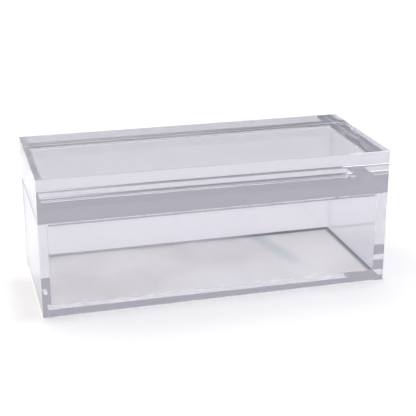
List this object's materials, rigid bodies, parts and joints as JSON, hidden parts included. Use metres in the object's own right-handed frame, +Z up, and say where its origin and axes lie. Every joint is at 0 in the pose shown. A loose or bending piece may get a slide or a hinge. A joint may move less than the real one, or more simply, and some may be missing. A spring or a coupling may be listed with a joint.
{
  "type": "clear acrylic storage box with lift-off lid",
  "caption": "Long rectangular box of thick clear acrylic sheet, open at the top, closed by a heavy solid acrylic lid block with a locating plate under it.",
  "frame": {"origin": "middle of the footprint, on the surface the box stands on", "axes": "+X to the right along the long side, +Y to the back, +Z up; the front faces -Y"},
  "size_m": [0.3048, 0.127, 0.1207],
  "materials": {
    "sheet_acrylic": "clear cast acrylic sheet, faces as cast, edges polished, joints solvent bonded and clear",
    "lid_acrylic": "thick clear cast acrylic block, all faces and edges polished"
  },
  "bodies": {
    "box": {"base_plate": "sheet_acrylic", "front_wall": "sheet_acrylic", "back_wall": "sheet_acrylic", "left_wall": "sheet_acrylic", "right_wall": "sheet_acrylic"},
    "lid": {"lid_block": "lid_acrylic", "locating_plate": "sheet_acrylic"}
  },
  "joints": [
    {"name": "lid_lift", "type": "slide", "parent": "box", "child": "lid", "axis": [0, 0, 1], "range_m": [0, 0.12]}
  ]
}
